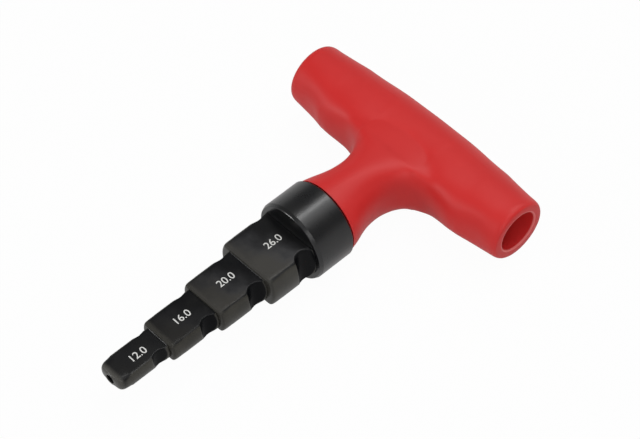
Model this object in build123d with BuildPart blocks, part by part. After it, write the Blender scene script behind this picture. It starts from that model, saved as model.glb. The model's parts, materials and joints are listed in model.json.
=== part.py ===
"""Pipe calibrator: a stepped steel mandrel with four calibrating sizes on a T-grip.

Millimetres, +Z up. The grip bar lies along X and the tool's own axis along Y, with
the tip towards -Y. The origin is the middle of the bore through the grip bar.
"""
from build123d import *
import os

os.makedirs("parts", exist_ok=True)

# Driving dimensions: the bores of the pipes that the steps calibrate
PIPE_BORES = {"step_12": 12.0, "step_16": 16.0, "step_20": 20.0, "step_26": 26.0}
NOSE_LENGTH = 20.7
STEP_LENGTH = 19.5
COLLAR_LENGTH = 15.4
COLLAR_RADIUS = 15.0
STEM_LENGTH = 42.1
BAR_LENGTH = 100.0
BAR_BORE_RADIUS = 7.75

# Form shared by the steps
FLAT_SHARE = 0.5
EDGE_ROUND_SHARE = 0.17
FRONT_SHARE = 0.985
LEAD_IN_LENGTH = 2.4
FRONT_ROUND = 0.35
ROOT_RADIUS = 0.5
CUTTER_RADIUS = 4.0
POCKET_FLOOR_SHARE = 0.735
POCKET_TURN = 10.0
NOSE_FACE_SHARE = 0.9
NOSE_TAPER_LENGTH = 3.2
NOSE_FRONT_ROUND = 1.1

# Stop collar's bevelled front edge, with a fine lip bevel, and its rear edge
COLLAR_FRONT_LENGTH = 1.3
COLLAR_FRONT_DEPTH = 0.45
COLLAR_LIP_BEVEL = 0.2
COLLAR_REAR_BEVEL = 0.5

# Arbor: one keyed diameter in each piece that it carries
FIT = 0.05
STUD_RADIUS = 1.95
STUD_LENGTH = 12.4
TIP_HOLE_RADIUS = 1.65
ARBOR_RADII = {"step_16": 2.6, "step_20": 3.4, "step_26": 4.6, "stop_collar": 6.0}
KEY_SHARE = 0.82
FLANGE_RADIUS = 9.0
FLANGE_LENGTH = 2.4
SHANK_RADIUS = 5.0
SHANK_LENGTH = 27.0
SHANK_CHAMFER = 0.6
RING_GROOVE_DEPTH = 0.8
RING_THICKNESS = 1.0
RING_RADIUS = 7.2
RING_GAP = 4.0

# Joint between the mandrel and the grip
WASHER_THICKNESS = 0.6
WASHER_RADIUS = 13.4
SPRING_HEIGHT = 0.9
SPRING_RADIUS = 8.4
SPRING_THICKNESS = 0.5
BUSH_RADIUS = 7.6
BUSH_LENGTH = 20.0
BUSH_GROOVE_RADIUS = 6.1
BUSH_GROOVE_WIDTH = 3.0
BUSH_GROOVE_START = 3.5
PIN_RADIUS = 1.5
PIN_LENGTH = 12.6
PIN_CHAMFER = 0.3
SCREW_RADIUS = 1.6
SCREW_LENGTH = 5.0
SCREW_CHAMFER = 0.25
SOCKET_ACROSS_FLATS = 1.5
SOCKET_DEPTH = 2.2

# Grip bar: share of the way to its rounded end, centre's offset, half depth, half height
BAR_STATIONS = [
    (0.0, 2.3, 12.5, 11.5),
    (0.21, 2.0, 12.75, 11.5),
    (0.42, 0.8, 13.6, 11.6),
    (0.55, 0.3, 13.7, 11.6),
    (0.65, 0.0, 13.8, 11.6),
    (0.76, 0.1, 12.9, 11.6),
    (0.87, 0.2, 12.0, 11.6),
    (0.95, 0.1, 11.75, 11.6),
    (1.0, 0.0, 11.65, 11.65),
]
# Grip stem: share of its length ahead of the bar, half width, half height and fullness
STEM_STATIONS = [
    (1.0, 14.3, 14.3, 0.552),
    (0.914, 13.3, 14.1, 0.552),
    (0.82, 11.7, 13.7, 0.56),
    (0.713, 10.4, 13.2, 0.58),
    (0.582, 9.9, 12.6, 0.62),
    (0.463, 11.0, 12.1, 0.68),
    (0.38, 13.3, 11.85, 0.72),
    (0.31, 16.8, 11.7, 0.74),
    (0.23, 19.6, 11.55, 0.74),
    (0.1, 21.0, 11.4, 0.72),
    (-0.05, 20.0, 11.0, 0.7),
]
END_ROUND = 2.4
BORE_CHAMFER = 0.7

# Stations along the tool, from the grip out to the tip
grip_front_y = -STEM_LENGTH
collar_rear_y = grip_front_y - WASHER_THICKNESS
front_y = {"stop_collar": collar_rear_y - COLLAR_LENGTH}
front_y["step_26"] = front_y["stop_collar"] - STEP_LENGTH
front_y["step_20"] = front_y["step_26"] - STEP_LENGTH
front_y["step_16"] = front_y["step_20"] - STEP_LENGTH
tip_y = front_y["step_16"] - NOSE_LENGTH
flange_rear_y = collar_rear_y + FLANGE_LENGTH
bush_front_y = flange_rear_y + SPRING_HEIGHT
bush_rear_y = bush_front_y + BUSH_LENGTH
shank_rear_y = flange_rear_y + SHANK_LENGTH
groove_rear_y = bush_front_y + BUSH_GROOVE_START + BUSH_GROOVE_WIDTH
pin_y = (groove_rear_y + bush_rear_y) / 2
stud_front_y = front_y["step_16"] - STUD_LENGTH
bar_end_x = BAR_LENGTH / 2
round_start_x = bar_end_x - END_ROUND


def plane_at(y):
    """Plane across the tool at y, with the sketch's x along X, its y along Z."""
    return Plane(origin=(0, y, 0), x_dir=(1, 0, 0), z_dir=(0, -1, 0))


def keyed_section(radius):
    """Double-D: a circle with two flats, which lock a piece to the arbor."""
    Circle(radius)
    Rectangle(2 * radius, 2 * KEY_SHARE * radius, mode=Mode.INTERSECT)


def soft_section(half_width, half_height, fullness):
    """Closed section of four quarter curves, whose handles reach fullness to the corner."""
    reach_x = fullness * half_width
    reach_z = fullness * half_height
    with BuildSketch() as section:
        with BuildLine():
            Bezier((half_width, 0), (half_width, reach_z), (reach_x, half_height), (0, half_height))
            Bezier((0, half_height), (-reach_x, half_height), (-half_width, reach_z), (-half_width, 0))
            Bezier((-half_width, 0), (-half_width, -reach_z), (-reach_x, -half_height), (0, -half_height))
            Bezier((0, -half_height), (reach_x, -half_height), (half_width, -reach_z), (half_width, 0))
        make_face()
    return section.sketch


def calibrating_step(radius, front, rear, face_share, taper_length, front_round):
    """One calibrating size: a round land with two flats and a milled pocket each side."""
    length = rear - front
    flat = FLAT_SHARE * radius
    floor = POCKET_FLOOR_SHARE * radius
    reach = radius + 2.0
    face = face_share * radius
    pocket_plane = Plane(
        origin=(0, 0, 0),
        x_dir=Vector(1, 0, 0).rotate(Axis.Y, -POCKET_TURN),
        z_dir=Vector(0, 0, 1).rotate(Axis.Y, -POCKET_TURN),
    )
    with BuildPart() as step:
        with BuildSketch(plane_at(rear)) as section:
            Circle(radius)
            Rectangle(2 * radius, 2 * flat, mode=Mode.INTERSECT)
            fillet(section.vertices(), radius=EDGE_ROUND_SHARE * radius)
        extrude(amount=length)
        # front edges of the flats, rounded with the lead-in
        with BuildSketch(Plane.YZ.offset(-radius)) as side_view:
            with Locations(((front + rear) / 2, 0)):
                Rectangle(length, 2 * flat)
            fillet(side_view.vertices().group_by(Axis.Y)[0], radius=front_round)
        extrude(amount=2 * radius, mode=Mode.INTERSECT)
        # the root of the flats, left by the milling cutter's corner
        with BuildSketch(plane_at(rear)):
            Circle(radius)
            Rectangle(2 * radius, 2 * (flat + ROOT_RADIUS), mode=Mode.INTERSECT)
        extrude(amount=ROOT_RADIUS)
        with BuildSketch(Plane.YZ.offset(-radius)):
            with Locations((rear - ROOT_RADIUS, flat + ROOT_RADIUS),
                           (rear - ROOT_RADIUS, -flat - ROOT_RADIUS)):
                Circle(ROOT_RADIUS)
        extrude(amount=2 * radius, mode=Mode.SUBTRACT)
        # lead-in, turned before the flats: a rounded front corner that runs out to the land
        with BuildSketch(Plane.XY):
            with BuildLine():
                Polyline((0, rear), (0, front), (face - front_round, front))
                Bezier(
                    (face - front_round, front),
                    (face, front),
                    (radius, front + taper_length / 2),
                    (radius, front + taper_length),
                )
                Polyline((radius, front + taper_length), (radius, rear), (0, rear))
            make_face()
        revolve(axis=Axis.Y, mode=Mode.INTERSECT)
        # pockets, milled with one round cutter that comes up to the next shoulder
        with BuildSketch(pocket_plane) as pocket:
            with Locations((floor + CUTTER_RADIUS, rear - CUTTER_RADIUS)):
                Circle(CUTTER_RADIUS)
            with Locations((-floor - CUTTER_RADIUS, rear - CUTTER_RADIUS)):
                Circle(CUTTER_RADIUS)
        extrude(amount=reach, both=True, mode=Mode.SUBTRACT)
    return step


def save(piece, name):
    """Label a finished piece and write its STEP file."""
    piece.part.label = name
    export_step(piece.part, f"parts/{name}.step")


# Nose: threaded on the arbor's stud, with the lock screw's hole in its tip
nose_blank = calibrating_step(
    PIPE_BORES["step_12"] / 2,
    tip_y,
    front_y["step_16"],
    NOSE_FACE_SHARE,
    NOSE_TAPER_LENGTH,
    NOSE_FRONT_ROUND,
)
with BuildPart() as step_12:
    add(nose_blank.part)
    with BuildSketch(plane_at(front_y["step_16"])):
        Circle(STUD_RADIUS + FIT)
    extrude(amount=STUD_LENGTH, mode=Mode.SUBTRACT)
    with BuildSketch(plane_at(front_y["step_16"])):
        Circle(TIP_HOLE_RADIUS)
    extrude(amount=NOSE_LENGTH, mode=Mode.SUBTRACT)
save(step_12, "step_12")

# The other three sizes slide on the arbor's keyed diameters
for name, behind in (("step_16", "step_20"), ("step_20", "step_26"), ("step_26", "stop_collar")):
    blank = calibrating_step(
        PIPE_BORES[name] / 2,
        front_y[name],
        front_y[behind],
        FRONT_SHARE,
        LEAD_IN_LENGTH,
        FRONT_ROUND,
    )
    with BuildPart() as step:
        add(blank.part)
        with BuildSketch(plane_at(front_y[behind])):
            keyed_section(ARBOR_RADII[name] + FIT)
        extrude(amount=front_y[behind] - front_y[name], mode=Mode.SUBTRACT)
    save(step, name)

# Stop collar: the pipe's end comes to rest on its front face
collar_front_y = front_y["stop_collar"]
collar_lip_radius = COLLAR_RADIUS - COLLAR_FRONT_DEPTH
with BuildPart() as stop_collar:
    with BuildSketch(Plane.XY):
        with BuildLine():
            Polyline(
                (0, collar_front_y),
                (collar_lip_radius - COLLAR_LIP_BEVEL, collar_front_y),
                (collar_lip_radius, collar_front_y + COLLAR_LIP_BEVEL),
                (COLLAR_RADIUS, collar_front_y + COLLAR_FRONT_LENGTH),
                (COLLAR_RADIUS, collar_rear_y - COLLAR_REAR_BEVEL),
                (COLLAR_RADIUS - COLLAR_REAR_BEVEL, collar_rear_y),
                (0, collar_rear_y),
                close=True,
            )
        make_face()
    revolve(axis=Axis.Y)
    with BuildSketch(plane_at(collar_rear_y)):
        keyed_section(ARBOR_RADII["stop_collar"] + FIT)
    extrude(amount=COLLAR_LENGTH, mode=Mode.SUBTRACT)
save(stop_collar, "stop_collar")

# Arbor: front stud, keyed diameters, clamping flange and the shank in the grip
with BuildPart() as arbor:
    with BuildSketch(plane_at(front_y["step_16"])):
        Circle(STUD_RADIUS)
    extrude(amount=STUD_LENGTH)
    for name, rear in (
        ("step_16", front_y["step_20"]),
        ("step_20", front_y["step_26"]),
        ("step_26", collar_front_y),
        ("stop_collar", collar_rear_y),
    ):
        with BuildSketch(plane_at(rear)):
            keyed_section(ARBOR_RADII[name])
        extrude(amount=rear - front_y[name])
    with BuildSketch(plane_at(flange_rear_y)):
        Circle(FLANGE_RADIUS)
    extrude(amount=FLANGE_LENGTH)
    with BuildSketch(plane_at(shank_rear_y)):
        keyed_section(SHANK_RADIUS)
    extrude(amount=SHANK_LENGTH)
    with BuildSketch(plane_at(bush_rear_y + RING_THICKNESS + FIT)):
        Circle(SHANK_RADIUS + 1)
        Circle(SHANK_RADIUS - RING_GROOVE_DEPTH, mode=Mode.SUBTRACT)
    extrude(amount=RING_THICKNESS + FIT, mode=Mode.SUBTRACT)
    with BuildSketch(Plane.XY.offset(-SHANK_RADIUS)):
        with Locations((0, pin_y)):
            Circle(PIN_RADIUS + FIT)
    extrude(amount=2 * SHANK_RADIUS, mode=Mode.SUBTRACT)
    chamfer(arbor.edges().group_by(Axis.Y)[-1], length=SHANK_CHAMFER)
save(arbor, "arbor")

# Lock screw: a socket grub screw that jams against the stud inside the nose
with BuildPart() as lock_screw:
    with BuildSketch(plane_at(stud_front_y)):
        Circle(SCREW_RADIUS)
    extrude(amount=SCREW_LENGTH)
    chamfer(lock_screw.edges().group_by(Axis.Y)[0], length=SCREW_CHAMFER)
    with BuildSketch(plane_at(stud_front_y - SCREW_LENGTH + SOCKET_DEPTH)):
        RegularPolygon(radius=SOCKET_ACROSS_FLATS / 2, side_count=6, major_radius=False)
    extrude(amount=SOCKET_DEPTH, mode=Mode.SUBTRACT)
save(lock_screw, "lock_screw")

# Thrust washer: the dark ring that shows between the collar and the grip
with BuildPart() as thrust_washer:
    with BuildSketch(plane_at(grip_front_y)):
        Circle(WASHER_RADIUS)
        Circle(FLANGE_RADIUS + FIT, mode=Mode.SUBTRACT)
    extrude(amount=WASHER_THICKNESS)
save(thrust_washer, "thrust_washer")

# Disc spring: takes up the play between the arbor's flange and the bush
with BuildPart() as disc_spring:
    with BuildSketch(Plane.XY):
        with BuildLine():
            Polyline(
                (SHANK_RADIUS + 4 * FIT, flange_rear_y),
                (SPRING_RADIUS, bush_front_y - SPRING_THICKNESS),
                (SPRING_RADIUS, bush_front_y),
                (SHANK_RADIUS + 4 * FIT, flange_rear_y + SPRING_THICKNESS),
                close=True,
            )
        make_face()
    revolve(axis=Axis.Y)
save(disc_spring, "disc_spring")

# Bush: a hexagon moulded into the stem, grooved so that the grip can't be pulled off
with BuildPart() as moulded_bush:
    with BuildSketch(plane_at(bush_rear_y)):
        RegularPolygon(radius=BUSH_RADIUS, side_count=6)
    extrude(amount=BUSH_LENGTH)
    with BuildSketch(plane_at(groove_rear_y)):
        Circle(BUSH_RADIUS + 1)
        Circle(BUSH_GROOVE_RADIUS, mode=Mode.SUBTRACT)
    extrude(amount=BUSH_GROOVE_WIDTH, mode=Mode.SUBTRACT)
    with BuildSketch(plane_at(bush_rear_y)):
        keyed_section(SHANK_RADIUS + FIT)
    extrude(amount=BUSH_LENGTH, mode=Mode.SUBTRACT)
    with BuildSketch(Plane.XY.offset(-BUSH_RADIUS)):
        with Locations((0, pin_y)):
            Circle(PIN_RADIUS + FIT)
    extrude(amount=2 * BUSH_RADIUS, mode=Mode.SUBTRACT)
save(moulded_bush, "moulded_bush")

# Cross pin: carries the turning force from the bush to the shank
with BuildPart() as cross_pin:
    with BuildSketch(Plane.XY.offset(-PIN_LENGTH / 2)):
        with Locations((0, pin_y)):
            Circle(PIN_RADIUS)
    extrude(amount=PIN_LENGTH)
    chamfer(cross_pin.edges().filter_by(GeomType.CIRCLE), length=PIN_CHAMFER)
save(cross_pin, "cross_pin")

# Retaining ring: an open ring in the shank's groove, behind the bush
with BuildPart() as retaining_ring:
    with BuildSketch(plane_at(bush_rear_y + RING_THICKNESS)):
        Circle(RING_RADIUS)
        Circle(SHANK_RADIUS - RING_GROOVE_DEPTH + FIT, mode=Mode.SUBTRACT)
        with Locations((RING_RADIUS, 0)):
            Rectangle(2 * RING_RADIUS, RING_GAP, mode=Mode.SUBTRACT)
    extrude(amount=RING_THICKNESS)
save(retaining_ring, "retaining_ring")

# Grip: one moulding, an arched bar with two finger hollows each side and a waisted stem
left_half = [(-share, *sizes) for share, *sizes in BAR_STATIONS[:0:-1]]
end_radius = BAR_STATIONS[-1][2]
with BuildPart() as grip:
    for share, centre, half_depth, half_height in left_half + BAR_STATIONS:
        with BuildSketch(Plane.YZ.offset(share * round_start_x)):
            with Locations((centre, 0)):
                Ellipse(half_depth, half_height)
    loft()
    # rounded ends, turned about the bore
    with BuildSketch(Plane.XY) as end_profile:
        with BuildLine():
            Line((round_start_x, 0), (round_start_x, end_radius))
            Bezier(
                (round_start_x, end_radius),
                (bar_end_x - END_ROUND / 2, end_radius),
                (bar_end_x, end_radius - END_ROUND / 2),
                (bar_end_x, end_radius - END_ROUND),
            )
            Line((bar_end_x, end_radius - END_ROUND), (bar_end_x, 0))
            Line((bar_end_x, 0), (round_start_x, 0))
        make_face()
    revolve(axis=Axis.X)
    with BuildSketch(Plane.XY):
        mirror(end_profile.sketch, about=Plane.YZ)
    revolve(axis=Axis.X)
    # stem, which flows into the bar over its top and bottom
    for share, half_width, half_height, fullness in STEM_STATIONS:
        with BuildSketch(plane_at(-share * STEM_LENGTH)):
            add(soft_section(half_width, half_height, fullness))
    loft()
    # bore through the bar
    with BuildSketch(Plane.YZ.offset(-bar_end_x)):
        Circle(BAR_BORE_RADIUS)
    extrude(amount=BAR_LENGTH, mode=Mode.SUBTRACT)
    chamfer(
        grip.edges().filter_by(GeomType.CIRCLE).filter_by(
            lambda edge: abs(edge.radius - BAR_BORE_RADIUS) < FIT
        ),
        length=BORE_CHAMFER,
    )
    # seats of the flange, the spring and the bush, as the moulding closes round them
    with BuildSketch(Plane.XY):
        with BuildLine():
            Polyline(
                (0, grip_front_y),
                (FLANGE_RADIUS + FIT, grip_front_y),
                (FLANGE_RADIUS + FIT, flange_rear_y),
                (SPRING_RADIUS + FIT, flange_rear_y),
                (SPRING_RADIUS + FIT, bush_front_y),
                (0, bush_front_y),
                close=True,
            )
        make_face()
    revolve(axis=Axis.Y, mode=Mode.SUBTRACT)
    with BuildSketch(plane_at(groove_rear_y - BUSH_GROOVE_WIDTH)):
        RegularPolygon(radius=BUSH_RADIUS + FIT, side_count=6)
    extrude(amount=BUSH_GROOVE_START, mode=Mode.SUBTRACT)
    with BuildSketch(plane_at(groove_rear_y)):
        Circle(BUSH_GROOVE_RADIUS + FIT)
    extrude(amount=BUSH_GROOVE_WIDTH, mode=Mode.SUBTRACT)
    with BuildSketch(plane_at(bush_rear_y)):
        RegularPolygon(radius=BUSH_RADIUS + FIT, side_count=6)
    extrude(amount=bush_rear_y - groove_rear_y, mode=Mode.SUBTRACT)
    with BuildSketch(plane_at(bush_rear_y + RING_THICKNESS + FIT)):
        Circle(RING_RADIUS + FIT)
    extrude(amount=RING_THICKNESS + FIT, mode=Mode.SUBTRACT)
    with BuildSketch(plane_at(shank_rear_y + FIT)):
        Circle(SHANK_RADIUS + FIT)
    extrude(amount=shank_rear_y + FIT - bush_rear_y, mode=Mode.SUBTRACT)
save(grip, "grip")
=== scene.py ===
import json
from math import copysign, pi

import bmesh
import bpy
from mathutils import Matrix, Vector


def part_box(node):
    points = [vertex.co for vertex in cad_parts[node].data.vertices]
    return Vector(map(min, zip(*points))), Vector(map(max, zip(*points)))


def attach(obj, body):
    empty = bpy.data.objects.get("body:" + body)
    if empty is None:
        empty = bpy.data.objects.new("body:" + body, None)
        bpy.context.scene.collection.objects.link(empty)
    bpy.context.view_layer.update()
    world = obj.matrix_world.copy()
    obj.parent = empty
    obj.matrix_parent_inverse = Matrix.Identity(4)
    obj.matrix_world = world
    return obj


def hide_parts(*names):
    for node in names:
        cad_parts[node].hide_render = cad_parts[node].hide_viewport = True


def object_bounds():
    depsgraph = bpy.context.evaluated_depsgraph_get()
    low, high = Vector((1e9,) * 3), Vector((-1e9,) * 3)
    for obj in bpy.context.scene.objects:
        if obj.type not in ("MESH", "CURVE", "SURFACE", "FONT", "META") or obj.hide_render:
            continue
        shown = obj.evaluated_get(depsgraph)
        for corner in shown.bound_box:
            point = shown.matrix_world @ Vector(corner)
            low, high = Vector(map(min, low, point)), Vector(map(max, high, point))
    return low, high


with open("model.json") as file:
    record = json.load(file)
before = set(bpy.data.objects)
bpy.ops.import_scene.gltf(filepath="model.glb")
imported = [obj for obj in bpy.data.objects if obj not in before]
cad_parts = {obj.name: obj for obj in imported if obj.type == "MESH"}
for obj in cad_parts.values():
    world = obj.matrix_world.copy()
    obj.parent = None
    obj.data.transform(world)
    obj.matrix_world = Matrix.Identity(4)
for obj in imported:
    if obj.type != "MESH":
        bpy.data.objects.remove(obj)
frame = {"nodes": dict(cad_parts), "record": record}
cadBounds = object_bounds()
mm = 0.001


# Shader maths: an output socket that adds Math nodes when it is used in an expression
class Signal:
    def __init__(self, finish, socket):
        self.finish = finish
        self.socket = socket

    def math(self, operation, first, second):
        return self.finish.node("ShaderNodeMath", {"operation": operation}, {0: first, 1: second})

    def __add__(self, other):
        return self.math("ADD", self, other)

    def __radd__(self, other):
        return self.math("ADD", other, self)

    def __sub__(self, other):
        return self.math("SUBTRACT", self, other)

    def __rsub__(self, other):
        return self.math("SUBTRACT", other, self)

    def __mul__(self, other):
        return self.math("MULTIPLY", self, other)

    def __rmul__(self, other):
        return self.math("MULTIPLY", other, self)

    def __abs__(self):
        return self.math("ABSOLUTE", self, 0)

    # another output of the same node
    def sibling(self, output):
        return Signal(self.finish, self.socket.node.outputs[output])


# Nodes of one tree
class Nodes:
    def __init__(self, tree):
        self.tree = tree

    # a node of any type: settings first, then the values or links of its sockets
    def node(self, kind, settings=None, inputs=None, output=0):
        made = self.tree.nodes.new(kind)
        for key, value in (settings or {}).items():
            if key == "stops":
                self.setStops(made.color_ramp, value)
            else:
                setattr(made, key, value)
        for key, value in (inputs or {}).items():
            self.feed(made.inputs[key], value)
        return Signal(self, made.outputs[output])

    def setStops(self, ramp, stops):
        while len(ramp.elements) < len(stops):
            ramp.elements.new(1)
        for element, (place, colour) in zip(ramp.elements, stops):
            element.position = place
            element.color = (*colour, 1)

    def feed(self, socket, value):
        if isinstance(value, Signal):
            self.tree.links.new(value.socket, socket)
        else:
            socket.default_value = value

    # 0 below low, 1 above high, and a smooth rise between them
    def fade(self, signal, low, high, start=0, end=1):
        return self.node(
            "ShaderNodeMapRange",
            {"interpolation_type": "SMOOTHSTEP"},
            {"Value": signal, "From Min": low, "From Max": high, "To Min": start, "To Max": end},
        )

    def parts(self, vector):
        split = self.node("ShaderNodeSeparateXYZ", {}, {0: vector})
        return [split.sibling(index) for index in range(3)]


# One material's nodes, with its Principled shader
class Finish(Nodes):
    def __init__(self, name):
        self.material = bpy.data.materials.new(name)
        self.material.use_nodes = True
        super().__init__(self.material.node_tree)
        self.shader = self.tree.nodes["Principled BSDF"]
        self.output = self.tree.nodes["Material Output"]

    def set(self, **values):
        for key, value in values.items():
            self.feed(self.shader.inputs[key.replace("_", " ")], value)

    # lays another shader over the first where share is 1
    def over(self, share, cover):
        first = Signal(self, self.shader.outputs["BSDF"])
        both = self.node("ShaderNodeMixShader", {}, {0: share, 1: first, 2: cover})
        self.feed(self.output.inputs["Surface"], both)

    def place(self):
        return self.node("ShaderNodeTexCoord", output="Object")

    def stretched(self, scale):
        return self.node("ShaderNodeMapping", {}, {"Vector": self.place(), "Scale": scale})

    def noise(self, place, scale, detail=2, roughness=0.5):
        return self.node(
            "ShaderNodeTexNoise", {}, {"Vector": place, "Scale": scale, "Detail": detail, "Roughness": roughness}
        )

    def ramp(self, signal, stops):
        return self.node("ShaderNodeValToRGB", {"stops": stops}, {"Fac": signal})

    def mixColour(self, share, first, second):
        made = self.node("ShaderNodeMix", {"data_type": "RGBA"}, {"Factor": share})
        self.feed(made.socket.node.inputs[6], first)  # inputs 6 and 7 and output 2 are the node's colours
        self.feed(made.socket.node.inputs[7], second)
        return made.sibling(2)

    def bump(self, height, strength, distance):
        return self.node("ShaderNodeBump", {}, {"Height": height, "Strength": strength, "Distance": distance})


def rgb(red, green, blue):
    return (red, green, blue, 1)


# Black oxide: darker towards the shoulders; dry, brownish and lighter where pipes rub on the lands and the flats'
# fronts, with a painted sheen there
oxide = {
    "colour": rgb(0.0028, 0.003, 0.0038),
    "bloom": rgb(0.0065, 0.0065, 0.0065),
    # rubbed oxide, made lighter to carry a painted sheen in place of the lowered specular
    "wornWithSheen": rgb(0.036, 0.036, 0.038),
    "brown": rgb(0.038, 0.036, 0.032),
    "land": rgb(0.041, 0.039, 0.033),
    # pale front of the tip: painted highlight
    "tip": rgb(0.075, 0.072, 0.064),
    "roughness": 0.29,
    "wornRoughness": 0.12,
    "bloomSpread": 0.06,
    "grainSpread": 0.08,
    # bloom: its clouds, and the range of the noise that shows as cloud
    "bloomScale": 110.0,
    "bloomDetail": 4,
    "cloudRange": (0.35, 0.7),
    # turning marks run round the tool, and the grain has no direction
    "turnStretch": (0.02, 1, 0.02),
    "turnScale": 5200.0,
    "turnShare": 0.6,
    "grainScale": 2600.0,
    "grainDetail": 3,
    "grainShare": 0.4,
    "cloudiness": 0.6,
    "markStrength": 0.35,
    "markHeight": 0.008 * mm,
}

# Where the oxide of a step is rubbed and carries a painted sheen, and where painted highlight and painted shade
# go. Lengths along a step are shares from its shoulder to its front
rubAndPaintedLight = {
    # how much each flat is rubbed and lightened with a painted sheen, and how much each step still shines
    "wearAndSheen": {"step_12": 0.12, "step_16": 0.35, "step_20": 0.8, "step_26": 1.0},
    "specular": {"step_12": 0.24, "step_16": 0.14, "step_20": 0.16, "step_26": 0.24},
    # patches that make the rubbed area uneven
    "patchScale": 160.0,
    "patchDetail": 3,
    "patchRoughness": 0.55,
    # a face is a flat by its squared slope, and a land by its depth under the full radius
    "flatRange": (0.9, 0.99),
    "landDepth": (0.5 * mm, 0.1 * mm),
    "landShare": (0.5, 0.8),
    "landRub": 0.6,
    # flats: start and full rub with painted sheen, shifts by the patches and towards +X, and strength
    "flatReach": (0.1, 0.75),
    "patchShift": 0.7,
    "sideShift": 0.3,
    "flatShare": (0.55, 0.6, 0.4),
    "brownReach": (0.45, 0.9),
    # rims of the flats, from this height as a share of the radius, are matt
    "rimHeight": (0.36, 0.46),
    "rimReach": (0.04, 0.07),
    "rimRub": 2.2,
    # fronts are pale: a painted highlight
    "frontReach": (0.88, 0.96),
    "frontRagged": 0.06,
    "frontHighlightShare": 0.7,
    # pockets and the hole in the tip get a dull dark shader over them: painted shade
    "pocketReach": (0.42, 0.5),
    "pocketHeight": (0.47, 0.5),
    "pocketShadeShare": 0.62,
    "holeRadii": (1.55 * mm, 1.8 * mm),
    "holeShadeShare": 0.9,
    "shadeRoughness": 0.6,
}


# Noise of 0 to 1 as a shift both ways
def centred(noise):
    return noise - 0.5


# 0 within the inner radius, 1 beyond the outer one
def outside(finish, squaredRadius, inner, outer):
    return finish.fade(squaredRadius, inner ** 2, outer ** 2)


def paintStepRubAndLight(finish, nodeName, colour, bloom):
    low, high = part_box(nodeName)
    radius, length = high.x, high.y - low.y
    place = finish.place()
    across, along, up = finish.parts(place)
    normal = finish.parts(finish.node("ShaderNodeTexCoord", output="Normal"))
    patch = finish.noise(place, rubAndPaintedLight["patchScale"], rubAndPaintedLight["patchDetail"], rubAndPaintedLight["patchRoughness"])
    fromAxis = across * across + up * up
    fromShoulder = (high.y - along) * (1 / length)
    height = abs(up)
    flat = finish.fade(normal[2] * normal[2], *rubAndPaintedLight["flatRange"])
    land = outside(finish, fromAxis, *(radius - depth for depth in rubAndPaintedLight["landDepth"]))
    hole = 1 - outside(finish, fromAxis, *rubAndPaintedLight["holeRadii"])
    side = (1 - flat) * (1 - land)

    # pale fronts with a painted highlight, then the flats, then the lands
    front = finish.fade(fromShoulder + centred(patch) * rubAndPaintedLight["frontRagged"], *rubAndPaintedLight["frontReach"])
    highlightColour = oxide["tip"] if nodeName == "step_12" else oxide["land"]
    colour = finish.mixColour(front * (1 - land) * (1 - hole) * rubAndPaintedLight["frontHighlightShare"], colour, highlightColour)
    # flats: lighter towards their fronts and towards +X, rubbed oxide with a painted sheen
    ahead = fromShoulder + centred(patch) * rubAndPaintedLight["patchShift"] + across * (rubAndPaintedLight["sideShift"] / radius)
    even, patchy, sideways = rubAndPaintedLight["flatShare"]
    share = even + patch * patchy + across * (sideways / radius)
    share = share * finish.fade(ahead, *rubAndPaintedLight["flatReach"]) * flat * rubAndPaintedLight["wearAndSheen"][nodeName]
    wornWithSheen = finish.mixColour(finish.fade(ahead, *rubAndPaintedLight["brownReach"]), oxide["wornWithSheen"], oxide["brown"])
    colour = finish.mixColour(share, colour, wornWithSheen)
    # lands: rubbed oxide with a painted sheen
    even, cloudy = rubAndPaintedLight["landShare"]
    colour = finish.mixColour(land * (even + bloom * cloudy), colour, oxide["land"])

    rim = side * finish.fade(height, *(radius * part for part in rubAndPaintedLight["rimHeight"]))
    rim = rim * finish.fade(fromShoulder, *rubAndPaintedLight["rimReach"])
    # painted shade: a dull dark shader laid over the pockets and the tip's hole
    pocket = side * (1 - finish.fade(fromShoulder, *rubAndPaintedLight["pocketReach"]))
    pocket = pocket * (1 - finish.fade(height, *(radius * part for part in rubAndPaintedLight["pocketHeight"])))
    paintedShade = finish.node("ShaderNodeBsdfPrincipled", {}, {
        "Base Color": oxide["colour"],
        "Roughness": rubAndPaintedLight["shadeRoughness"],
        "Specular IOR Level": 0.0,
    })
    finish.over(pocket * rubAndPaintedLight["pocketShadeShare"] + hole * rubAndPaintedLight["holeShadeShare"], paintedShade)
    finish.set(Specular_IOR_Level=rubAndPaintedLight["specular"][nodeName])
    return colour, share + land * rubAndPaintedLight["landRub"] + rim * rubAndPaintedLight["rimRub"]


def blackOxide(name, nodeName=None):
    finish = Finish(name)
    place = finish.place()
    bloom = finish.noise(place, oxide["bloomScale"], oxide["bloomDetail"], oxide["cloudiness"])
    turned = finish.noise(finish.stretched(oxide["turnStretch"]), oxide["turnScale"], 1)
    grain = finish.noise(place, oxide["grainScale"], oxide["grainDetail"], oxide["cloudiness"])
    clear, cloudy = oxide["cloudRange"]
    cloud = finish.ramp(bloom, [(clear, (0, 0, 0)), (cloudy, (1, 1, 1))])
    colour, rubbed = finish.mixColour(cloud, oxide["colour"], oxide["bloom"]), 0.0
    if nodeName:
        colour, rubbed = paintStepRubAndLight(finish, nodeName, colour, bloom)
    roughness = oxide["roughness"] + centred(bloom) * oxide["bloomSpread"] + centred(grain) * oxide["grainSpread"]
    marks = turned * oxide["turnShare"] + grain * oxide["grainShare"]
    finish.set(
        Base_Color=colour,
        Roughness=roughness + rubbed * oxide["wornRoughness"],
        Normal=finish.bump(marks, oxide["markStrength"], oxide["markHeight"]),
    )
    return finish.material


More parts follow.
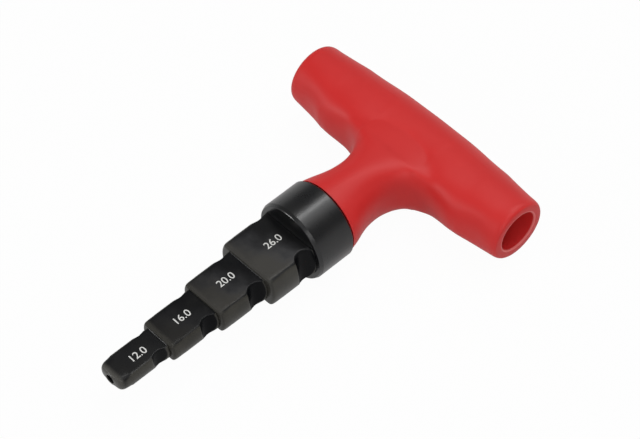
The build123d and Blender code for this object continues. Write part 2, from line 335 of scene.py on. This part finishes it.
# Moulded plastic: even red with a fine spark-eroded grain
redPlastic = {
    "colour": rgb(0.56, 0.019, 0.018),
    "deep": rgb(0.52, 0.017, 0.016),
    "roughness": 0.46,
    "specular": 0.3,
    "grainScale": 3800.0,
    "grainStrength": 0.35,
    "grainHeight": 0.02 * mm,
    "grainSpread": 0.08,
    "flowScale": 60.0,
    "flowSpread": 0.06,
    # painted highlight round the bore's mouths: where it starts along X, and where it ends outwards
    "edge": rgb(0.74, 0.2, 0.19),
    "mouthHighlightShare": 0.6,
    "mouthHighlightStart": (49.3 * mm, 49.6 * mm),
    "mouthHighlightRadii": (8.15 * mm, 8.55 * mm),
}


def mouldedRed():
    finish = Finish("moulded_red")
    place = finish.place()
    across, along, up = finish.parts(place)
    grain = finish.noise(place, redPlastic["grainScale"])
    flow = finish.noise(place, redPlastic["flowScale"])
    # painted highlight: a pale ring round the bore's mouths
    edge = finish.fade(abs(across), *redPlastic["mouthHighlightStart"]) * redPlastic["mouthHighlightShare"]
    edge = edge * (1 - outside(finish, along * along + up * up, *redPlastic["mouthHighlightRadii"]))
    red = finish.mixColour(flow, redPlastic["colour"], redPlastic["deep"])
    spread = centred(grain) * redPlastic["grainSpread"] + centred(flow) * redPlastic["flowSpread"]
    finish.set(
        Base_Color=finish.mixColour(edge, red, redPlastic["edge"]),
        Specular_IOR_Level=redPlastic["specular"],
        Roughness=redPlastic["roughness"] + spread,
        Normal=finish.bump(grain, redPlastic["grainStrength"], redPlastic["grainHeight"]),
    )
    return finish.material


# Plain turned metals of the inner pieces
metals = {
    "turned_steel": {"colour": rgb(0.52, 0.53, 0.54), "roughness": 0.28, "slot": "bright_steel"},
    "spring_steel": {"colour": rgb(0.36, 0.37, 0.39), "roughness": 0.34, "slot": "spring_steel"},
    "turned_brass": {"colour": rgb(0.72, 0.53, 0.25), "roughness": 0.3, "slot": "brass_bush"},
}
metalMarks = {"detail": 2, "spread": 0.12, "strength": 0.4}


def turnedMetal(name, sizes):
    finish = Finish(name)
    marks = finish.noise(finish.stretched(oxide["turnStretch"]), oxide["turnScale"], metalMarks["detail"])
    finish.set(
        Base_Color=sizes["colour"],
        Metallic=1.0,
        Roughness=sizes["roughness"] + centred(marks) * metalMarks["spread"],
        Normal=finish.bump(marks, metalMarks["strength"], oxide["markHeight"]),
    )
    return finish.material


redMaterial = mouldedRed()
slotMaterials = {"blackened_steel": blackOxide("black_oxide"), "red_grip": redMaterial}
for metalName, sizes in metals.items():
    slotMaterials[sizes["slot"]] = turnedMetal(metalName, sizes)
for part in frame["record"]["subparts"]:
    node = frame["nodes"][part["node"]]
    node.data.materials.clear()
    if part["node"] in rubAndPaintedLight["wearAndSheen"]:
        node.data.materials.append(blackOxide("oxide_" + part["node"], part["node"]))
    else:
        node.data.materials.append(slotMaterials[part["material_slot"]])
print("materials on the packed pieces")


def meshPiece(name, form, material):
    mesh = bpy.data.meshes.new(name)
    form.to_mesh(mesh)
    form.free()
    piece = bpy.data.objects.new(name, mesh)
    bpy.context.scene.collection.objects.link(piece)
    mesh.materials.clear()
    mesh.materials.append(material)
    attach(piece, "root")
    return piece


def applyModifiers(piece):
    shown = piece.evaluated_get(bpy.context.evaluated_depsgraph_get())
    finished = bpy.data.meshes.new_from_object(shown)
    piece.modifiers.clear()
    piece.data = finished


# Voxel remesh, after which the mesh is given back for more work
def remeshed(piece, voxel):
    even = piece.modifiers.new("even", "REMESH")
    even.mode = "VOXEL"
    even.voxel_size = voxel * mm
    applyModifiers(piece)
    form = bmesh.new()
    form.from_mesh(piece.data)
    return form


def smooth(form, verts, passes, factor):
    for _ in range(passes):
        bmesh.ops.smooth_vert(
            form, verts=verts, factor=factor, use_axis_x=True, use_axis_y=True, use_axis_z=True,
        )


def smoothShade(piece, material, sharpAngle):
    for face in piece.data.polygons:
        face.use_smooth = True
    piece.data.set_sharp_from_angle(angle=sharpAngle)
    piece.data.materials.clear()
    piece.data.materials.append(material)


# Grip, in millimetres: the bar runs along X, the stem along Y towards the tip
gripSizes = {
    # share of the half length, centre, half depth, half height, squareness of the front
    "bar": [
        (0.0, 2.36, 12.5, 11.5, 2.2),
        (0.2, 2.0, 12.75, 11.5, 2.5),
        (0.3, 1.5, 13.2, 11.55, 3.0),
        (0.4, 0.8, 13.6, 11.6, 3.2),
        (0.5, 0.35, 13.6, 11.6, 2.8),
        (0.6, -0.15, 13.85, 11.6, 2.3),
        (0.66, 0.0, 13.55, 11.6, 2.3),
        (0.74, 0.3, 12.6, 11.6, 2.6),
        (0.82, 0.35, 12.0, 11.6, 2.6),
        (0.9, 0.1, 11.8, 11.6, 2.2),
        (0.955, 0.0, 11.7, 11.65, 2.0),
        (0.975, 0.0, 11.5, 11.5, 2.0),
        (0.99, 0.0, 11.0, 11.0, 2.0),
        (1.0, 0.0, 10.0, 10.0, 2.0),
    ],
    # share of the length ahead of the bar, half width, half height, squareness
    "stem": [
        (1.1, 14.6, 14.4, 2.0),
        (1.0, 14.3, 14.3, 2.0),
        (0.914, 13.3, 14.1, 2.0),
        (0.82, 11.7, 13.7, 2.05),
        (0.713, 10.4, 13.2, 2.15),
        (0.582, 9.9, 12.6, 2.4),
        (0.463, 10.9, 12.1, 2.8),
        (0.38, 13.1, 11.8, 3.0),
        (0.345, 14.8, 11.7, 3.1),
        (0.32, 16.9, 11.6, 3.2),
        (0.305, 19.2, 11.5, 3.2),
        (0.292, 21.8, 11.35, 3.2),
        (0.26, 24.2, 11.15, 3.1),
        (0.1, 25.5, 10.9, 3.0),
        (-0.05, 24.0, 10.6, 2.8),
    ],
    "stemLength": 42.1,
    "halfLength": 50.0,
    "overrun": 0.4,  # the bar is this much too long at each end until the cutter trims it
    "swell": 0.05,  # makes up for what the smoothing takes off
    "barRings": 180,
    "stemRings": 80,
    "segments": 96,
    "voxel": 0.45,
    "blendPasses": 8,
    "blendFactor": 0.5,
    # where the stem flows into the bar: along X, along Y, and the passes that soften it
    "joinWidths": (13.0, 33.0),
    "joinReach": (-19.0, 6.0),
    "joinPasses": 60,
    "sharpAngle": 0.7,
    "bore": 7.75,
    "mouthRound": 0.5,
    "mouthSegments": 6,
    # the cutter's flanges: radius as a multiple of the bore, and thickness
    "flange": 2,
    "flangeThickness": 3,
    "mergeDistance": 0.001,
}


# Smooth curve through the stations, each a place followed by its values
def between(stations, place):
    ordered = sorted(stations)
    last = len(ordered) - 1
    right = next((i for i in range(1, last) if ordered[i][0] >= place), last)
    left = right - 1
    span = ordered[right][0] - ordered[left][0]
    share = (place - ordered[left][0]) / span

    def slope(index, column):
        before = ordered[max(index - 1, 0)]
        after = ordered[min(index + 1, last)]
        return (after[column] - before[column]) / (after[0] - before[0]) * span

    found = []
    for column in range(1, len(ordered[0])):
        start, end = ordered[left][column], ordered[right][column]
        startSlope, endSlope = slope(left, column), slope(right, column)
        square, cube = share ** 2, share ** 3
        found.append(
            (2 * cube - 3 * square + 1) * start
            + (cube - 2 * square + share) * startSlope
            + (3 * square - 2 * cube) * end
            + (cube - square) * endSlope
        )
    return found


def signedPower(value, power):
    return copysign(abs(value) ** power, value)


# Closed tube from -1 to 1 along Z, whose vertices are then moved to their place on the form
def sweptForm(rings, segments, placeVertex):
    form = bmesh.new()
    bmesh.ops.create_cone(form, cap_ends=True, segments=segments, radius1=1, radius2=1, depth=2)
    lengthways = [edge for edge in form.edges if abs(edge.verts[0].co.z - edge.verts[1].co.z) > 1]
    bmesh.ops.subdivide_edges(form, edges=lengthways, cuts=rings, use_grid_fill=True)
    for vertex in form.verts:
        vertex.co = placeVertex(*vertex.co) * mm
    return form


def onBar(across, up, along):
    centre, halfDepth, halfHeight, square = between(gripSizes["bar"], abs(along))
    power = 2 / square if across < 0 else 1
    swell = gripSizes["swell"]
    return Vector((
        along * (gripSizes["halfLength"] + gripSizes["overrun"]),
        centre + signedPower(across, power) * (halfDepth + swell),
        signedPower(up, power) * (halfHeight + swell),
    ))


def onStem(across, up, along):
    stations = gripSizes["stem"]
    first, final = stations[0][0], stations[-1][0]
    place = final + (first - final) * (1 + along) / 2
    halfWidth, halfHeight, square = between(stations, place)
    swell = gripSizes["swell"]
    return Vector((
        signedPower(across, 2 / square) * (halfWidth + swell),
        -place * gripSizes["stemLength"],
        signedPower(up, 2 / square) * (halfHeight + swell),
    ))


# Cutter for the bore: a spindle with a flange at each end, which also trims the bar to length
def boreCutter():
    half, bore = gripSizes["halfLength"], gripSizes["bore"]
    flange, reach = gripSizes["flange"] * bore, half + gripSizes["flangeThickness"]
    outline = [
        (reach, 0), (reach, flange), (half, flange), (half, bore),
        (-half, bore), (-half, flange), (-reach, flange), (-reach, 0),
    ]
    form = bmesh.new()
    verts = [form.verts.new(Vector((place, 0, radius)) * mm) for place, radius in outline]
    edges = [form.edges.new(pair) for pair in zip(verts, verts[1:])]
    bmesh.ops.spin(
        form, geom=verts + edges, cent=(0, 0, 0), axis=(1, 0, 0), dvec=(0, 0, 0),
        angle=2 * pi, steps=gripSizes["segments"], use_merge=True,
    )
    bmesh.ops.remove_doubles(form, verts=form.verts[:], dist=gripSizes["mergeDistance"] * mm)
    bmesh.ops.recalc_face_normals(form, faces=form.faces[:])
    # the mouths are the two rings of edges at the bore's radius, and are rounded
    ring = {vertex for vertex in form.verts if abs(vertex.co.yz.length - bore * mm) < bore / 2 * mm}
    mouths = [
        edge for edge in form.edges
        if set(edge.verts) <= ring and abs(edge.verts[0].co.x - edge.verts[1].co.x) < half * mm
    ]
    bmesh.ops.bevel(
        form, geom=mouths, offset=gripSizes["mouthRound"] * mm, segments=gripSizes["mouthSegments"],
        profile=0.5, affect="EDGES", material=-1,
    )
    return form


def cutWith(piece, cutForm):
    mesh = bpy.data.meshes.new("cutter")
    cutForm.to_mesh(mesh)
    cutForm.free()
    cutter = bpy.data.objects.new("cutter", mesh)
    bpy.context.scene.collection.objects.link(cutter)
    cut = piece.modifiers.new("cut", "BOOLEAN")
    cut.operation = "DIFFERENCE"
    cut.solver = "EXACT"
    cut.object = cutter
    applyModifiers(piece)
    bpy.data.objects.remove(cutter)
    bpy.data.meshes.remove(mesh)


def gripPiece():
    bar = sweptForm(gripSizes["barRings"], gripSizes["segments"], onBar)
    stem = sweptForm(gripSizes["stemRings"], gripSizes["segments"], onStem)
    for form in (bar, stem):
        bmesh.ops.recalc_face_normals(form, faces=form.faces[:])
    stemMesh = bpy.data.meshes.new("stem_form")
    stem.to_mesh(stemMesh)
    stem.free()
    bar.from_mesh(stemMesh)
    bpy.data.meshes.remove(stemMesh)
    piece = meshPiece("grip_moulding", bar, redMaterial)
    # fuse the two and blend the join
    form = remeshed(piece, gripSizes["voxel"])
    smooth(form, form.verts[:], gripSizes["blendPasses"], gripSizes["blendFactor"])
    (near, far), (ahead, behind) = gripSizes["joinWidths"], gripSizes["joinReach"]
    join = [
        vertex for vertex in form.verts
        if near * mm < abs(vertex.co.x) < far * mm and ahead * mm < vertex.co.y < behind * mm
    ]
    smooth(form, join, gripSizes["joinPasses"], gripSizes["blendFactor"])
    # square off the stem's front
    front = -gripSizes["stemLength"] * mm
    bmesh.ops.bisect_plane(
        form, geom=form.verts[:] + form.edges[:] + form.faces[:], plane_co=(0, front, 0), plane_no=(0, -1, 0),
        clear_outer=True,
    )
    bmesh.ops.contextual_create(form, geom=[edge for edge in form.edges if edge.is_boundary])
    form.to_mesh(piece.data)
    form.free()
    cutWith(piece, boreCutter())
    smoothShade(piece, redMaterial, gripSizes["sharpAngle"])
    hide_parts("grip")


gripPiece()
print("grip moulded")


# Steps, in millimetres, with their front edges rubbed round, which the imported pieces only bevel
softSteps = {
    "voxel": 0.2,
    "evenPasses": 7,
    "frontPasses": {"step_12": 170, "step_16": 40, "step_20": 40, "step_26": 45},
    "frontReach": 5.0,
    "holeGuard": 2.3,  # radius round the tip's hole that stays as it is
    "factor": 0.5,
    "sharpAngle": 0.9,
    "mergeDistance": 0.001,
}


def softenedStep(nodeName, passes):
    packed = frame["nodes"][nodeName].data
    form = bmesh.new()
    form.from_mesh(packed)
    bmesh.ops.remove_doubles(form, verts=form.verts[:], dist=softSteps["mergeDistance"] * mm)
    piece = meshPiece(nodeName + "_rubbed", form, packed.materials[0])
    form = remeshed(piece, softSteps["voxel"])
    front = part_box(nodeName)[0].y + softSteps["frontReach"] * mm
    guard = softSteps["holeGuard"] * mm
    rubbed = [vertex for vertex in form.verts if vertex.co.y < front and vertex.co.xz.length > guard]
    smooth(form, form.verts[:], softSteps["evenPasses"], softSteps["factor"])
    smooth(form, rubbed, passes, softSteps["factor"])
    form.to_mesh(piece.data)
    form.free()
    smoothShade(piece, packed.materials[0], softSteps["sharpAngle"])
    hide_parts(nodeName)
    print(nodeName, "has", len(piece.data.polygons), "faces")


for nodeName, passes in softSteps["frontPasses"].items():
    softenedStep(nodeName, passes)
print("steps rubbed")


# Laser marks, in millimetres: pale numbers, each the diameter of its step, with an uneven burn
marking = {
    "strings": {"step_12": "12.0", "step_16": "16.0", "step_20": "20.0", "step_26": "26.0"},
    # middles of the numbers: across the flat, and along it from the step's front
    "middles": {"step_12": (0.7, 11.5), "step_16": (0.1, 10.4), "step_20": (-0.6, 10.9), "step_26": (-0.5, 12.5)},
    "height": 2.9,
    "capHeight": 0.72,  # of the font, as a share of its size
    "boldness": 0.015,
    "thickness": 0.02,
    "flatHeight": 0.5,  # of the flats, as a share of the step's radius
    "colour": rgb(0.72, 0.72, 0.70),
    "speck": rgb(0.5, 0.5, 0.48),
    "speckScale": 4200.0,
    "roughness": 0.6,
    "spread": 0.2,
}


def laserWhite():
    finish = Finish("laser_white")
    speck = finish.noise(finish.place(), marking["speckScale"])
    finish.set(
        Base_Color=finish.mixColour(speck, marking["colour"], marking["speck"]),
        Roughness=marking["roughness"] + centred(speck) * marking["spread"],
    )
    return finish.material


def markPiece(nodeName, text, material):
    low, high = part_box(nodeName)
    across, along = marking["middles"][nodeName]
    curve = bpy.data.curves.new(nodeName + "_mark", "FONT")
    curve.body = text
    curve.size = marking["height"] * mm / marking["capHeight"]
    curve.align_x = "CENTER"
    curve.align_y = "CENTER"
    curve.extrude = marking["thickness"] * mm / 2
    curve.offset = marking["boldness"] * mm
    source = bpy.data.objects.new(nodeName + "_mark_text", curve)
    bpy.context.scene.collection.objects.link(source)
    bpy.context.view_layer.update()
    mesh = bpy.data.meshes.new_from_object(source.evaluated_get(bpy.context.evaluated_depsgraph_get()))
    bpy.data.objects.remove(source)
    # the text runs towards the grip and its top is towards -X
    turn = Matrix(((0, -1, 0), (1, 0, 0), (0, 0, 1))).to_4x4()
    place = Matrix.Translation((across * mm, low.y + along * mm, marking["flatHeight"] * (high.x - low.x) / 2))
    mesh.transform(place @ turn)
    form = bmesh.new()
    form.from_mesh(mesh)
    bpy.data.meshes.remove(mesh)
    meshPiece(nodeName + "_mark", form, material)


markMaterial = laserWhite()
for nodeName, text in marking["strings"].items():
    markPiece(nodeName, text, markMaterial)
print("sizes marked")


# Studio: a pale floor under the lowest point, a sky that is brighter at the horizon, and soft lamps
studio = {
    "floorSize": 3.0,
    "floorColour": rgb(0.6, 0.6, 0.6),
    "floorRoughness": 0.9,
    # how white the floor is to the camera and in reflections
    "floorSeen": 0.97,
    "floorMirrored": 0.5,
    "horizon": 0.8,
    "zenith": 0.22,
    "horizonHeight": (0.1, 0.45),
    "aim": (0, -0.05, 0),
    "lamps": {
        "overhead": {"from": (-0.115, 0.418, 0.901), "distance": 1.1, "size": (0.12, 0.5), "watts": 2.2},
        "front": {"from": (0.6, -0.55, 0.58), "distance": 1.1, "size": (0.6, 0.6), "watts": 3.2},
        "top": {"from": (0.1, 0.12, 0.98), "distance": 1.2, "size": (0.9, 0.9), "watts": 5.0},
        "left": {"from": (-0.457, -0.785, 0.418), "distance": 0.9, "size": (0.2, 0.2), "watts": 2.2},
        "rear": {"from": (0.2, 0.72, 0.66), "distance": 1.2, "size": (0.6, 0.6), "watts": 2.2},
    },
}


def paleFloor():
    form = bmesh.new()
    bmesh.ops.create_grid(form, x_segments=1, y_segments=1, size=studio["floorSize"])
    bmesh.ops.translate(form, verts=form.verts[:], vec=(0, 0, cadBounds[0][2]))
    mesh = bpy.data.meshes.new("floor")
    form.to_mesh(mesh)
    form.free()
    floor = bpy.data.objects.new("floor", mesh)
    bpy.context.scene.collection.objects.link(floor)
    finish = Finish("pale_floor")
    finish.set(Base_Color=studio["floorColour"], Roughness=studio["floorRoughness"], Specular_IOR_Level=0.0)
    cameraRay = finish.node("ShaderNodeLightPath", output="Is Camera Ray")
    seen = cameraRay * studio["floorSeen"] + cameraRay.sibling("Is Glossy Ray") * studio["floorMirrored"]
    finish.over(seen, finish.node("ShaderNodeEmission", {}, {"Color": rgb(1, 1, 1), "Strength": 1.0}))
    mesh.materials.append(finish.material)


def softSky():
    world = bpy.data.worlds.new("studio_sky")
    bpy.context.scene.world = world
    world.use_nodes = True
    sky = Nodes(world.node_tree)
    height = sky.parts(sky.node("ShaderNodeTexCoord", output="Generated"))[2]
    brightness = sky.fade(height, *studio["horizonHeight"], studio["horizon"], studio["zenith"])
    cameraRay = sky.node("ShaderNodeLightPath", output="Is Camera Ray")
    strength = sky.node("ShaderNodeMix", {}, {"Factor": cameraRay, "A": brightness, "B": 1.0})
    background = world.node_tree.nodes["Background"]
    sky.feed(background.inputs["Color"], rgb(1, 1, 1))
    sky.feed(background.inputs["Strength"], strength)


def softLamp(name, sizes):
    lamp = bpy.data.lights.new(name, "AREA")
    lamp.shape = "RECTANGLE"
    lamp.size, lamp.size_y = sizes["size"]
    lamp.energy = sizes["watts"]
    holder = bpy.data.objects.new(name, lamp)
    away = Vector(sizes["from"]).normalized()
    holder.location = away * sizes["distance"] + Vector(studio["aim"])
    holder.rotation_euler = (-away).to_track_quat("-Z", "Y").to_euler()
    bpy.context.scene.collection.objects.link(holder)


paleFloor()
softSky()
for lampName, sizes in studio["lamps"].items():
    softLamp(lampName, sizes)

# Camera: the photograph's own place and direction
cameraView = {
    "place": (0.3627, -0.3754, 0.6229),
    "right": (0.6889, 0.7247, -0.0159),
    "up": (-0.5623, 0.5481, 0.6192),
    "back": (0.4574, -0.4176, 0.7851),
    "lens": 132.3,
    "sensor": 36.0,
}


def photoCamera():
    camera = bpy.data.cameras.new("camera")
    camera.lens = cameraView["lens"]
    camera.sensor_width = cameraView["sensor"]
    camera.sensor_fit = "HORIZONTAL"
    holder = bpy.data.objects.new("camera", camera)
    axes = Matrix((cameraView["right"], cameraView["up"], cameraView["back"])).transposed()
    holder.matrix_world = Matrix.Translation(cameraView["place"]) @ axes.to_4x4()
    bpy.context.scene.collection.objects.link(holder)
    bpy.context.scene.camera = holder


photoCamera()
bpy.context.scene.view_settings.view_transform = "Standard"
print("studio ready")
